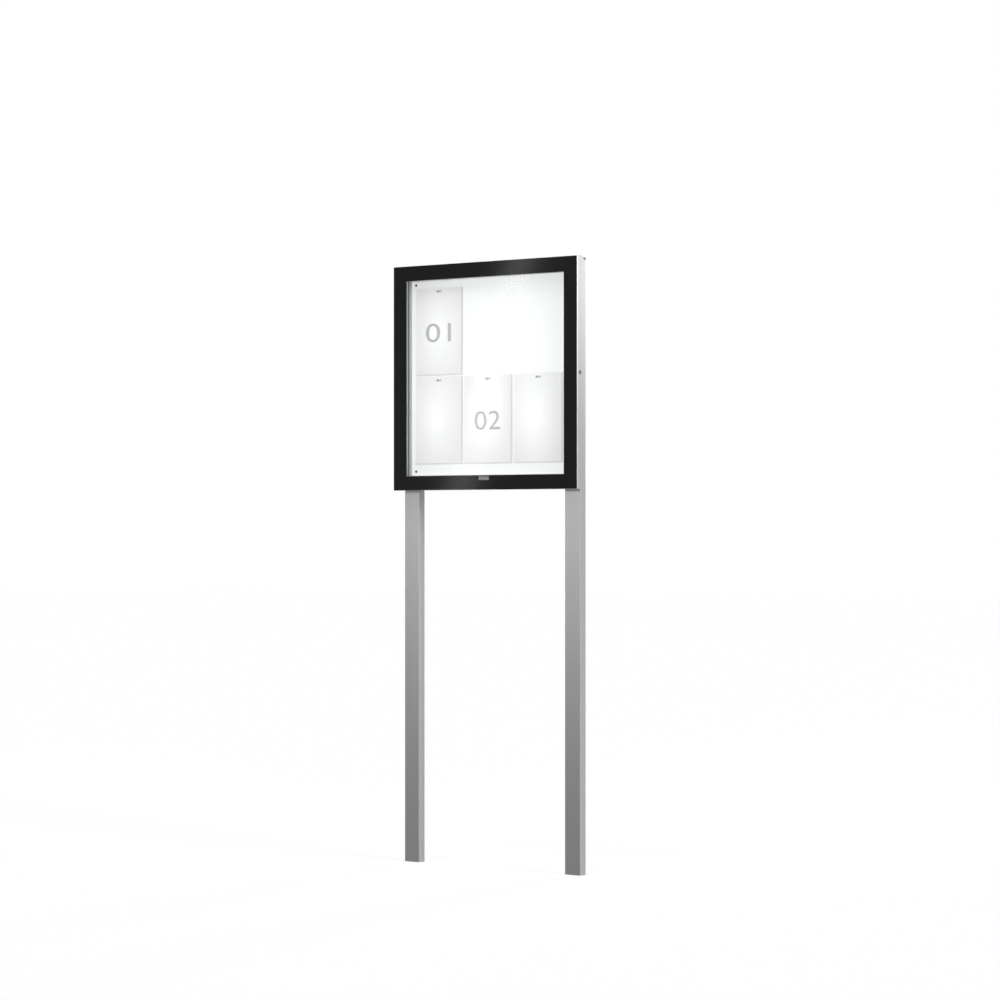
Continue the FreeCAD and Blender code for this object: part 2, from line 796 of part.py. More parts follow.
strip_clear = f"({barrel_depth} + {barrel_radius} + Sizes.knuckle_gap)"
case_leaf = hinge_leaf(
    "hinge_case_leaf", 0,
    ("(-Sizes.hinge_leaf)", strip_clear, "0", f"({strip_clear} + Sizes.case_leaf_width)"),
    ("(-Sizes.hinge_leaf)", barrel_depth, "0", f"({strip_clear} + Sizes.hinge_leaf)"),
)
door_leaf = hinge_leaf(
    "hinge_door_leaf", 1,
    ("0", flange_back, size("door_leaf_width"), leaf_back),
    (barrel_x, flange_back, "0", leaf_back),
)
rivet_pitch = f"(({case_height} - 2 * Sizes.rivet_end) / (Sizes.rivet_count - 1))"


def add_rivet_heads(body, name, role, middle, offset):
    # a row of rivet heads along the middle of a leaf
    sketch = sketch_on(body, name, role, offset)
    add_circle(sketch, middle, size("rivet_end"), size("rivet_head_radius"))
    head = pad(body, sketch, size("rivet_head"), reverse=(role == "XZ_Plane"))
    linear_copies(body, head, sketch, "Z_Axis", rivet_pitch, size("rivet_count"))


add_rivet_heads(
    case_leaf, "CaseRivetHead", "YZ_Plane", f"({strip_clear} + Sizes.case_leaf_width / 2)",
    "(-Sizes.hinge_leaf - Sizes.rivet_head)",
)
add_rivet_heads(
    door_leaf, "DoorRivetHead", "XZ_Plane", "(Sizes.door_leaf_width / 2)", f"(-({leaf_back}))"
)


def hinge_pin():
    body = hinge_frame("hinge_pin")
    sketch = sketch_on(body, "PinSection", "XY_Plane")
    add_circle(sketch, barrel_x, barrel_depth, size("hinge_pin_radius"))
    pad(body, sketch, case_height)


hinge_pin()


# Lock, set out from its own axis, which runs into the right side of the case
def lock_frame(name):
    body = new_body(name)
    place(body, half_width, f"({face_y} + Sizes.lock_setback)", centre_z)
    return body


def lock_disc(body, name, start, length, radius, bore=None):
    # start is counted inwards from the case side
    sketch = sketch_on(body, name, "YZ_Plane", f"(-({start}))")
    add_circle(sketch, "0", "0", radius)
    if bore:
        add_circle(sketch, "0", "0", bore)
    return pad(body, sketch, length, reverse=True)


plug_bore = "(Sizes.plug_radius + Sizes.plug_play)"


def lock_housing():
    body = lock_frame("lock_housing")
    lock_disc(body, "LockRim", "-Sizes.rim_height", size("rim_height"), size("rim_radius"), plug_bore)
    lock_disc(body, "LockBarrel", "0", size("lock_length"), size("lock_radius"), plug_bore)


def lock_nut():
    body = lock_frame("lock_nut")
    sketch = sketch_on(body, "LockNutRing", "YZ_Plane", "(-Sizes.case_wall)")
    add_hexagon(sketch, "0", "0", size("lock_nut_across_flats"))
    add_circle(sketch, "0", "0", "(Sizes.lock_radius + Sizes.plug_play)")
    pad(body, sketch, size("lock_nut_height"), reverse=True)


def lock_plug():
    body = lock_frame("lock_plug")
    lock_disc(
        body, "PlugBarrel", "-Sizes.rim_height", "(Sizes.rim_height + Sizes.lock_length)",
        size("plug_radius"),
    )
    lock_disc(
        body, "PlugSpindle", size("lock_length"),
        "(Sizes.hook_inset - Sizes.lock_length)", size("spindle_radius"),
    )
    keyway = sketch_on(body, "Keyway", "YZ_Plane", size("rim_height"))
    half_wide = "(Sizes.keyway_width / 2)"
    half_high = "(Sizes.keyway_height / 2)"
    add_rectangle(keyway, f"(-{half_wide})", f"(-{half_high})", half_wide, half_high)
    pocket(body, keyway, size("keyway_depth"))


lock_housing()
lock_nut()
lock_plug()


def lock_hook():
    # a hub, an arm and an arc round the lock's axis, drawn back from the door at rest
    # the arc's angles are counted from the direction that points to the back of the case
    body = lock_frame("lock_hook")
    plane = f"(-({size('hook_inset')}))"
    band = sketch_on(body, "HookArc", "YZ_Plane", plane)
    add_arc_band(
        band, size("hook_inner"), size("hook_outer"),
        size("hook_tip_angle"), size("hook_root_angle"),
    )
    pad(body, band, size("hook_thickness"), reverse=True)
    arm = sketch_on(body, "HookArm", "YZ_Plane", plane)
    middle = "((Sizes.hook_inner + Sizes.hook_outer) / 2)"
    add_rectangle(arm, "0", "(-Sizes.hook_hub_radius)", middle, "0")
    pad(body, arm, size("hook_thickness"), reverse=True)
    lock_disc(body, "HookHub", size("hook_inset"), size("hook_thickness"), size("hook_hub_radius"))


lock_hook()


def hook_screw():
    body = lock_frame("hook_screw")
    start = "(Sizes.hook_inset + Sizes.hook_thickness)"
    lock_disc(body, "HookScrewHead", start, size("hook_screw_head"), size("hook_screw_radius"))


hook_screw()


# Notices on the panel, each held by a bar magnet
def notice(name, column, row):
    # columns are counted from the left and rows from the bottom of the opening
    body = board_body(name)
    left = f"(-{opening_width} / 2 + Sizes.margin_left + {column} * {notice_pitch_x})"
    right = f"({left} + Sizes.notice_width)"
    low = f"(-{opening_height} / 2 + Sizes.margin_bottom + {row} * {notice_pitch_z})"
    high = f"({low} + Sizes.notice_height)"
    sketch = depth_sketch(body, name + "Outline", notice_front)
    add_rectangle(sketch, left, low, right, high)
    pad(body, sketch, size("notice_thickness"), reverse=True)
    return f"(({left} + {right}) / 2)", high


notice_places = {
    "notice_top_left": (0, 1),
    "notice_bottom_left": (0, 0),
    "notice_bottom_middle": (1, 0),
    "notice_bottom_right": (2, 0),
}
notice_tops = [notice(name, *where) for name, where in notice_places.items()]


def notice_magnets():
    body = board_body("notice_magnets")
    sketch = depth_sketch(body, "MagnetOutline", f"({notice_front} - Sizes.magnet_thickness)")
    for middle, high in notice_tops:
        centre = f"({high} - Sizes.magnet_drop)"
        add_rectangle(
            sketch,
            f"({middle} - Sizes.magnet_width / 2)", f"({centre} - Sizes.magnet_height / 2)",
            f"({middle} + Sizes.magnet_width / 2)", f"({centre} + Sizes.magnet_height / 2)",
        )
    pad(body, sketch, size("magnet_thickness"), reverse=True)


notice_magnets()
doc.recompute()

# Check every object, then write one STEP file for each sub-part
for item in doc.Objects:
    if "Invalid" in item.State or "Error" in item.State:
        raise RuntimeError(f"{item.Name}: {item.State}")

bodies = [item for item in doc.Objects if item.isDerivedFrom("PartDesign::Body")]
for body in bodies:
    if body.Shape.isNull() or not body.Shape.isValid():
        raise RuntimeError(f"{body.Label} has no valid shape")

os.makedirs("parts", exist_ok=True)
for body in bodies:
    body.Shape.exportStep(os.path.join("parts", body.Label + ".step"))
    print(body.Label, len(body.Shape.Solids), "solid(s)", round(body.Shape.Volume / 1000, 2), "cm3")
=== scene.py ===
import bpy, bmesh, math
from mathutils import Matrix, Vector


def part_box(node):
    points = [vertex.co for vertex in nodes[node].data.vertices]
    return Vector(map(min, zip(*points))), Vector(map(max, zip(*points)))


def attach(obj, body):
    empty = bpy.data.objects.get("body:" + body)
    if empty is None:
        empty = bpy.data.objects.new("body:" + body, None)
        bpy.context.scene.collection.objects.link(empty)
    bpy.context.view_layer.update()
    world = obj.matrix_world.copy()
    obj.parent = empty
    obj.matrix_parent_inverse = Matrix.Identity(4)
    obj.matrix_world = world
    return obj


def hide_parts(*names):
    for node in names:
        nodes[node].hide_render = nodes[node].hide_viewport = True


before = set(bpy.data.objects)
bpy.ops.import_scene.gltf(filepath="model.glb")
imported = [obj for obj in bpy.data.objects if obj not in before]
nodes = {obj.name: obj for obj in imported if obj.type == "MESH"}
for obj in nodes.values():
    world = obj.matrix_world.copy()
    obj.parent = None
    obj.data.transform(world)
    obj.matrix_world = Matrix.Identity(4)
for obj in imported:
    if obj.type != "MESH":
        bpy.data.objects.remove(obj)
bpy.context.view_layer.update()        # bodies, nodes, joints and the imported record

scene = bpy.context.scene
print("frame loaded,", len(nodes), "nodes")


# a field is a node's socket that takes part in sums
class Field:
    def __init__(self, tree, socket):
        self.tree = tree
        self.socket = socket

    def sum(self, operation, *values):
        return Nodes(self.tree).add("ShaderNodeMath", {"operation": operation}, dict(enumerate(values)))

    def __add__(self, other):
        return self.sum("ADD", self, other)

    def __radd__(self, other):
        return self.sum("ADD", other, self)

    def __sub__(self, other):
        return self.sum("SUBTRACT", self, other)

    def __rsub__(self, other):
        return self.sum("SUBTRACT", other, self)

    def __mul__(self, other):
        return self.sum("MULTIPLY", self, other)

    def __rmul__(self, other):
        return self.sum("MULTIPLY", other, self)

    def __pow__(self, other):
        return self.sum("POWER", self, other)

    def size(self):
        return self.sum("ABSOLUTE", self)

    def above(self, limit):
        return self.sum("GREATER_THAN", self, limit)

    def below(self, limit):
        return self.sum("LESS_THAN", self, limit)

    def atLeast(self, limit):
        return self.sum("MAXIMUM", self, limit)

    def upTo(self, limit):
        return self.sum("MINIMUM", self, limit)

    def swing(self, amount):
        # a noise as a change up or down
        return (self - 0.5) * amount

    def away(self, other):
        # the distance from zero of a point with these two coordinates
        return (self * self + other * other) ** 0.5


class Nodes:
    def __init__(self, tree):
        self.tree = tree

    def feed(self, slot, value):
        # a field is linked, a list of fields too, and anything else is the socket's own value
        if isinstance(value, Field):
            self.tree.links.new(value.socket, slot)
        elif isinstance(value, list):
            for one in value:
                self.tree.links.new(one.socket, slot)
        else:
            slot.default_value = value

    def add(self, kind, settings, inputs, output=0):
        # settings first, then the sockets; gives back one output as a field
        node = self.tree.nodes.new(kind)
        for name, value in settings.items():
            setattr(node, name, value)
        for name, value in inputs.items():
            self.feed(node.inputs[name], value)
        return Field(self.tree, node.outputs[output])

    def end(self, kind, result):
        # the tree's output node has inputs only
        last = self.tree.nodes.new(kind)
        self.tree.links.new(result.socket, last.inputs[0])


class Finish(Nodes):
    def __init__(self, name):
        self.material = bpy.data.materials.new(name)
        self.material.use_nodes = True
        super().__init__(self.material.node_tree)
        self.tree.nodes.clear()

    def place(self, kind="Object"):
        return self.add("ShaderNodeTexCoord", {}, {}, kind)

    def axes(self, wanted, kind="Object"):
        # the wanted ones of the surface's X, Y and Z
        return [self.add("ShaderNodeSeparateXYZ", {}, {0: self.place(kind)}, axis) for axis in wanted]

    def grain(self, scale, detail=3.0, stretch=(1.0, 1.0, 1.0), rough=0.5):
        moved = self.add("ShaderNodeMapping", {}, {"Vector": self.place(), "Scale": stretch})
        return self.add(
            "ShaderNodeTexNoise", {},
            {"Vector": moved, "Scale": scale, "Detail": detail, "Roughness": rough},
        )

    def spread(self, value, low, high):
        # 0 up to the low limit and 1 from the high one
        return self.add("ShaderNodeMapRange", {}, {"Value": value, "From Min": low, "From Max": high})

    def blend(self, share, first, second):
        # inputs 6 and 7 are the Mix node's colours, and output 2 is the mixed one
        return self.add("ShaderNodeMix", {"data_type": "RGBA"}, {0: share, 6: first, 7: second}, 2)

    def tint(self, share, first, second):
        return self.blend(share, (*first, 1.0), (*second, 1.0))

    def shades(self, share, colour, amount):
        # one colour, from darker to lighter by the same amount
        dark = tuple(c * (1.0 - amount) for c in colour)
        light = tuple(min(1.0, c * (1.0 + amount)) for c in colour)
        return self.tint(share, dark, light)

    def bump(self, height, strength, distance):
        return self.add(
            "ShaderNodeBump", {}, {"Height": height, "Strength": strength, "Distance": distance}
        )

    def body(self, **inputs):
        # a Principled shader, with short names for the sockets in use
        names = {
            "colour": "Base Color", "metal": "Metallic", "rough": "Roughness", "normal": "Normal",
            "specular": "Specular IOR Level",
        }
        sockets = {names[name]: value for name, value in inputs.items()}
        return self.add("ShaderNodeBsdfPrincipled", {}, sockets)

    def show(self, shader):
        self.end("ShaderNodeOutputMaterial", shader)
        return self.material


# drawn aluminium of the case, the door and the posts
aluminiumValues = {
    "case": (0.422, 0.422, 0.421), "caseMetallic": 0.25,
    "door": (0.46, 0.465, 0.46), "doorMetallic": 0.25,
    "post": (0.428, 0.429, 0.422), "postMetallic": 0.10,
    "shades": 0.14, "rough": 0.42,
    "streakFine": 900.0, "streakBroad": 60.0, "streakStretch": 0.004, "cloud": 7.0,
}


def aluminium(name, part, along):
    # streaks run the length of the section, softened by the satin anodising
    values = aluminiumValues
    finish = Finish(name)
    stretch = tuple(values["streakStretch"] if axis == along else 1.0 for axis in "XYZ")
    fine = finish.grain(values["streakFine"], detail=2.0, stretch=stretch)
    broad = finish.grain(values["streakBroad"], stretch=stretch)
    cloud = finish.grain(values["cloud"], detail=4.0)
    share = fine.swing(0.10) + broad.swing(0.14) + cloud.swing(0.10) + 0.5
    return finish.show(finish.body(
        colour=finish.shades(share.upTo(1.0).atLeast(0.0), values[part], values["shades"]),
        metal=values[part + "Metallic"],
        rough=values["rough"] + fine.swing(0.16) + cloud.swing(0.10),
        normal=finish.bump(fine * 0.6 + broad * 0.4, strength=0.12, distance=0.0002),
    ))


caseUpright = aluminium("caseUprightAluminium", "case", "Z")
caseAcross = aluminium("caseAcrossAluminium", "case", "X")
doorUpright = aluminium("doorUprightAluminium", "door", "Z")
doorAcross = aluminium("doorAcrossAluminium", "door", "X")
postAluminium = aluminium("postAluminium", "post", "Z")

# hinge, bolts, nuts and the lock's hook
steelValues = {
    "dark": (0.38, 0.38, 0.385), "light": (0.52, 0.52, 0.52), "rough": 0.34,
    "brushed": 700.0, "brushedStretch": (1.0, 1.0, 0.02),
}


def stainlessSteel():
    values = steelValues
    finish = Finish("stainlessSteel")
    brushed = finish.grain(values["brushed"], stretch=values["brushedStretch"])
    cloud = finish.grain(40.0)
    return finish.show(finish.body(
        colour=finish.tint(brushed, values["dark"], values["light"]),
        metal=1.0,
        rough=values["rough"] + brushed.swing(0.20) + cloud.swing(0.10),
        normal=finish.bump(brushed, strength=0.15, distance=0.0001),
    ))


# the lock: a plated rim round a darker face
lockValues = {
    "rim": (0.46, 0.46, 0.47), "dark": (0.085, 0.085, 0.09), "faceLighter": (0.16, 0.16, 0.165), "rough": 0.20,
    "faceRadius": 0.0062, "faceBlur": 0.0003,
}


def lockNickel():
    values = lockValues
    finish = Finish("lockNickel")
    low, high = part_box("lock_plug")
    y, z = finish.axes("YZ")
    film = finish.grain(220.0, detail=4.0)
    marks = finish.grain(2600.0, detail=2.0)
    away = (y - (low.y + high.y) / 2).away(z - (low.z + high.z) / 2)
    faceEnd = (values["faceRadius"] - values["faceBlur"], values["faceRadius"] + values["faceBlur"])
    onFace = 1.0 - finish.spread(away, *faceEnd)
    darkFace = finish.tint(film, values["dark"], values["faceLighter"])
    return finish.show(finish.body(
        colour=finish.blend(onFace, (*values["rim"], 1.0), darkFace),
        metal=1.0 - onFace * 0.4,
        rough=values["rough"] + film * 0.14 + onFace * 0.12,
        normal=finish.bump(marks, strength=0.06, distance=0.0001),
    ))


# cleats in the corners of case and door
castingValues = {"dark": (0.42, 0.42, 0.43), "light": (0.58, 0.58, 0.58), "metallic": 0.9, "rough": 0.5}


def plainCasting():
    values = castingValues
    finish = Finish("plainCasting")
    pits = finish.grain(500.0, detail=4.0)
    return finish.show(finish.body(
        colour=finish.tint(pits, values["dark"], values["light"]),
        metal=values["metallic"],
        rough=values["rough"] + pits * 0.2,
        normal=finish.bump(pits, strength=0.3, distance=0.0003),
    ))


# post caps, spacers and plugs
blackValues = {
    "fresh": (0.008, 0.008, 0.009), "chalked": (0.024, 0.024, 0.025), "rough": 0.50, "specular": 0.22,
    "spark": 1400.0,
}


def mouldedBlack():
    # matt moulded plastic with a fine spark grain, a little greyer where the weather has got at it
    values = blackValues
    finish = Finish("mouldedBlack")
    spark = finish.add(
        "ShaderNodeTexVoronoi", {}, {"Vector": finish.place(), "Scale": values["spark"]}
    )
    chalk = finish.grain(26.0, detail=4.0)
    return finish.show(finish.body(
        colour=finish.tint(chalk, values["fresh"], values["chalked"]),
        rough=values["rough"] + chalk * 0.18,
        specular=values["specular"],
        normal=finish.bump(spark, strength=0.25, distance=0.0002),
    ))


# back panel
enamelValues = {"dark": (0.900, 0.912, 0.908), "light": (0.930, 0.940, 0.936), "rough": 0.24, "peel": 420.0}


def whiteEnamel():
    # smooth stoved enamel with the faintest orange peel
    values = enamelValues
    finish = Finish("whiteEnamel")
    peel = finish.grain(values["peel"], detail=2.0)
    cloud = finish.grain(3.0)
    return finish.show(finish.body(
        colour=finish.tint(cloud, values["dark"], values["light"]),
        rough=values["rough"] + cloud.swing(0.08),
        normal=finish.bump(peel, strength=0.02, distance=0.0002),
    ))


stainless = stainlessSteel()
nickel = lockNickel()
casting = plainCasting()
blackPlastic = mouldedBlack()
enamel = whiteEnamel()

nodeFinish = {
    "case_left": caseUpright, "case_right": caseUpright, "case_top": caseAcross, "case_bottom": caseAcross,
    "door_left": doorUpright, "door_right": doorUpright, "door_top": doorAcross, "door_bottom": doorAcross,
    "left_post": postAluminium, "right_post": postAluminium,
    "left_post_cap": blackPlastic, "right_post_cap": blackPlastic, "post_spacers": blackPlastic,
    "case_corner_cleats": casting, "door_corner_cleats": casting, "back_panel": enamel,
    "case_bolts": stainless, "sliding_nuts": stainless, "hinge_case_leaf": stainless,
    "hinge_door_leaf": stainless, "hinge_pin": stainless, "lock_hook": stainless, "hook_screw": stainless,
    "lock_housing": nickel, "lock_nut": nickel, "lock_plug": nickel,
}
for name, material in nodeFinish.items():
    mesh = nodes[name].data
    mesh.materials.clear()
    mesh.materials.append(material)
print("metal, plastic and enamel finishes made")


def newPiece(name, mesh, body, slotName, materials, *stoodFor):
    # a mesh from a geometry tree brings its material with it
    for material in materials:
        mesh.materials.append(material)
    piece = bpy.data.objects.new(name, mesh)
    scene.collection.objects.link(piece)
    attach(piece, body)
    if stoodFor:
        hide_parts(*stoodFor)


def meshFrom(name, bm):
    mesh = bpy.data.meshes.new(name)
    bm.to_mesh(mesh)
    bm.free()
    return mesh


def plainMesh(holder):
    # the finished shape of a text or a geometry tree, as a mesh of its own
    scene.collection.objects.link(holder)
    finished = holder.evaluated_get(bpy.context.evaluated_depsgraph_get())
    mesh = bpy.data.meshes.new_from_object(finished)
    bpy.data.objects.remove(holder)
    return mesh


def standUp(mesh, low, high, depth):
    # a flat mesh is turned to face the front, in the middle of a box and at a depth
    middle = Vector(((low.x + high.x) / 2, depth, (low.z + high.z) / 2))
    mesh.transform(Matrix.Translation(middle) @ Matrix.Rotation(math.radians(90), 4, "X"))


# the door's pane, with a printed border and one small bare patch on it
glassValues = {
    "borderSide": 0.056, "borderTop": 0.0503, "borderBottom": 0.0487, "openingRadius": 0.0015,
    "arris": 0.0006, "cornerRadius": 0.0015,
    "print": (0.0024, 0.0024, 0.0026), "printRough": 0.07, "printSpecular": 0.115, "printWave": 1.6,
    "speck": (0.03, 0.03, 0.03), "speckGrain": 900.0, "speckFrom": 0.70, "speckTo": 0.78,
    "patch": (0.20, 0.20, 0.20), "patchAt": (0.0015, 1.3045), "patchHalf": (0.0225, 0.0062),
    "patchRadius": 0.0015, "patchBlur": 0.0003,
    "clear": (0.992, 0.996, 0.994), "mirrorRough": 0.03, "mirrorLeast": 0.0042,
    "edgeDark": (0.58, 0.64, 0.575), "edgeLight": (0.70, 0.74, 0.67), "edgeRough": 0.22,
}
glassLow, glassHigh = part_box("door_glass")
boardMiddle = ((glassLow.x + glassHigh.x) / 2, (glassLow.z + glassHigh.z) / 2)


def printedBorder():
    # enamel print behind the glass, seen through its polished face
    values = glassValues
    finish = Finish("printedBorder")
    x, y, z = finish.axes("XYZ")
    outX, outZ = [
        ((place - middle).size() - (half - values["patchRadius"])).atLeast(0.0)
        for place, middle, half in zip((x, z), values["patchAt"], values["patchHalf"])
    ]
    patchEnd = (values["patchRadius"] - values["patchBlur"], values["patchRadius"])
    patch = 1.0 - finish.spread(outX.away(outZ), *patchEnd)
    onFront = y.below((glassLow.y + glassHigh.y) / 2)
    dust = finish.grain(values["speckGrain"], detail=5.0, rough=0.7)
    haze = finish.grain(5.0, detail=4.0)
    wave = finish.grain(values["printWave"], detail=1.0)
    specks = finish.spread(dust, values["speckFrom"], values["speckTo"])
    black = finish.tint(specks * 0.5, values["print"], values["speck"])
    return finish.show(finish.body(
        colour=finish.blend(patch * onFront, black, (*values["patch"], 1.0)),
        rough=values["printRough"] + haze * 0.03 + specks * 0.2 + patch * 0.1,
        specular=values["printSpecular"],
        normal=finish.bump(wave, strength=0.10, distance=0.0004),
    ))


def clearPane():
    # both faces of the pane mirror a little and let the rest through
    values = glassValues
    finish = Finish("clearPane")
    film = finish.grain(4.0, detail=4.0)
    through = finish.add("ShaderNodeBsdfTransparent", {}, {"Color": (*values["clear"], 1.0)})
    mirror = finish.add(
        "ShaderNodeBsdfGlossy", {},
        {"Color": (1.0, 1.0, 1.0, 1.0), "Roughness": values["mirrorRough"] + film * 0.02},
    )
    # the mirrored share grows from straight on to edge on
    facing = finish.add("ShaderNodeLayerWeight", {}, {"Blend": 0.5}, "Facing")
    least = values["mirrorLeast"]
    share = (least + (1.0 - least) * facing ** 5.0) * (0.9 + film * 0.2)
    return finish.show(finish.add("ShaderNodeMixShader", {}, {0: share, 1: through, 2: mirror}))


def groundEdge():
    # ground and polished edge: pale, with the green of the glass
    values = glassValues
    finish = Finish("groundEdge")
    ground = finish.grain(1100.0)
    tone = finish.grain(30.0, detail=2.0, stretch=(1.0, 1.0, 0.2))
    return finish.show(finish.body(
        colour=finish.tint(tone, values["edgeDark"], values["edgeLight"]),
        rough=values["edgeRough"] + ground * 0.2,
        normal=finish.bump(ground, strength=0.12, distance=0.0002),
    ))


def roundedLoop(centre, halfWide, halfHigh, radius, steps=6):
    # points of a rounded rectangle in x and z, anticlockwise as seen from the front
    points = []
    corners = [(1, 1, 0), (-1, 1, 90), (-1, -1, 180), (1, -1, 270)]
    for signX, signZ, start in corners:
        for i in range(steps + 1):
            angle = math.radians(start + 90 * i / steps)
            points.append((
                centre[0] + signX * (halfWide - radius) + radius * math.cos(angle),
                centre[1] + signZ * (halfHigh - radius) + radius * math.sin(angle),
            ))
    return points


def buildPane():
    values = glassValues
    halfWide = (glassHigh.x - glassLow.x) / 2
    halfHigh = (glassHigh.z - glassLow.z) / 2
    front, back, arris = glassLow.y, glassHigh.y, values["arris"]
    openHigh = halfHigh - (values["borderTop"] + values["borderBottom"]) / 2
    openMiddle = (boardMiddle[0], boardMiddle[1] + (values["borderBottom"] - values["borderTop"]) / 2)
    opening = roundedLoop(openMiddle, halfWide - values["borderSide"], openHigh, values["openingRadius"])
    inset = roundedLoop(boardMiddle, halfWide - arris, halfHigh - arris, values["cornerRadius"])
    outer = roundedLoop(boardMiddle, halfWide, halfHigh, values["cornerRadius"])
    bm = bmesh.new()
    rings = [
        [bm.verts.new((x, depth, z)) for x, z in loop]
        for loop, depth in (
            (opening, front), (inset, front), (outer, front + arris),
            (outer, back - arris), (inset, back), (opening, back),
        )
    ]
    # from ring to ring: the print in front, three bands of the edge, and the print behind
    bandMaterials = [0, 2, 2, 2, 0]
    for inner, outside, band in zip(rings, rings[1:], bandMaterials):
        for i in range(len(inner)):
            after = (i + 1) % len(inner)
            face = bm.faces.new((inner[i], outside[i], outside[after], inner[after]))
            face.material_index = band
    for ring in (rings[0], list(reversed(rings[-1]))):
        face = bm.faces.new(ring)
        face.material_index = 1
    bmesh.ops.recalc_face_normals(bm, faces=bm.faces)
    return meshFrom("doorPane", bm)


paneMaterials = [printedBorder(), clearPane(), groundEdge()]
newPiece("doorPane", buildPane(), "door", "door_glass", paneMaterials, "door_glass")
print("glass door made")


# sheets, each held at the middle of its top edge, with one lower corner curled off the panel
paperValues = {
    "edge": (0.78, 0.77454, 0.77454), "middle": (0.975, 0.975, 0.975), "rough": 0.58,
    # where the painted highlight sits, its shape and how far it reaches
    "paleAt": (0.44, 0.52), "paleShape": (1.7, 1.45), "paleReach": 0.95,
    # the grey line's colour, widths and strength are for a painted shadow along the right and lower edges
    "line": (0.65, 0.65, 0.65), "shadowLineRight": 0.040, "shadowLineBelow": 0.017, "shadowLineBelowStrength": 0.8,
    "thickness": 0.00025, "sag": 0.00016, "curl": 0.0016, "curlShape": (2.2, 2.6),
    "columns": 18, "rows": 26,
}
curledCorners = {
    "notice_top_left": (1.0, 0.0), "notice_bottom_left": (0.0, 0.0),
    "notice_bottom_middle": (1.0, 0.0), "notice_bottom_right": (1.0, 0.0),
}


def noticePaper():
    # a painted highlight that is pale in the middle, with painted shade greyer towards the edges, on
    # lightly coated stock
    values = paperValues
    finish = Finish("noticePaper")
    u, v = finish.axes("XY", "UV")
    across = (u - values["paleAt"][0]) * values["paleShape"][0]
    up = (v - values["paleAt"][1]) * values["paleShape"][1]
    pale = 1.0 - finish.spread(across.away(up), 0.0, values["paleReach"])
    fibre = finish.grain(1500.0, detail=4.0)
    mottle = finish.grain(35.0)
    share = (pale + mottle.swing(0.05) + fibre.swing(0.03)).atLeast(0.0).upTo(1.0)
    # the painted highlight and shade, with a random mottle and the fibre
    ground = finish.tint(share, values["edge"], values["middle"])
    # a thin grey line along the right and lower edges is painted shadow, as if each sheet cast one there
    shadowLineRight = u.above(1.0 - values["shadowLineRight"])
    shadowLineBelow = v.below(values["shadowLineBelow"]) * values["shadowLineBelowStrength"]
    return finish.show(finish.body(
        colour=finish.blend((shadowLineRight + shadowLineBelow).upTo(1.0), ground, (*values["line"], 1.0)),
        rough=values["rough"] + fibre * 0.12,
        normal=finish.bump(fibre, strength=0.08, distance=0.0002),
    ))


def paperHeight(u, v, corner):
    # how far the sheet stands off the panel
    values = paperValues
    away = math.hypot((u - corner[0]) * values["curlShape"][0], (v - corner[1]) * values["curlShape"][1])
    hang = values["sag"] * (1.0 - v) * 0.5 * (1.0 + math.cos(2 * math.pi * (u - 0.5)))
    return hang + values["curl"] * max(0.0, 1.0 - away) ** 2


def buildNotice(name):
    low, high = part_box(name)
    across, up = paperValues["columns"], paperValues["rows"]
    bm = bmesh.new()
    uvLayer = bm.loops.layers.uv.new("UVMap")
    grid = {}
    for i in range(across + 1):
        for j in range(up + 1):
            u, v = i / across, j / up
            front = low.y - paperHeight(u, v, curledCorners[name])
            for side in (0, 1):
                grid[i, j, side] = bm.verts.new((
                    low.x + u * (high.x - low.x),
                    front + side * paperValues["thickness"],
                    low.z + v * (high.z - low.z),
                ))

    def addFace(spots):
        # a spot is a column, a row, and 0 for the front or 1 for the back
        face = bm.faces.new([grid[spot] for spot in spots])
        for loop, (i, j, side) in zip(face.loops, spots):
            loop[uvLayer].uv = (i / across, j / up)

    for i in range(across):
        for j in range(up):
            cell = [(i, j), (i + 1, j), (i + 1, j + 1), (i, j + 1)]
            addFace([(a, b, 0) for a, b in cell])
            addFace([(a, b, 1) for a, b in reversed(cell)])
    rim = [(i, 0) for i in range(across)] + [(across, j) for j in range(up)]
    rim += [(i, up) for i in range(across, 0, -1)] + [(0, j) for j in range(up, 0, -1)]
    for (a, b), (c, d) in zip(rim, rim[1:] + rim[:1]):
        addFace([(a, b, 1), (c, d, 1), (c, d, 0), (a, b, 0)])
    return meshFrom(name + "Sheet", bm)


paper = noticePaper()
for name in curledCorners:
    newPiece(name + "Sheet", buildNotice(name), "board", "paper", [paper], name)


# printed numbers: flat figures a hair in front of their sheets
numberValues = {
    "texts": {"notice_top_left": "01", "notice_bottom_middle": "02"},
    "width": 0.112, "height": 0.064, "shift": (-0.004, -0.003), "proud": 0.00008,
    "ink": (0.47, 0.47, 0.47), "rough": 0.5,
}


def printedInk():
    finish = Finish("printedInk")
    screen = finish.grain(2600.0, detail=2.0)
    return finish.show(finish.body(
        colour=finish.shades(screen, numberValues["ink"], 0.07),
        rough=numberValues["rough"] + screen * 0.1,
    ))


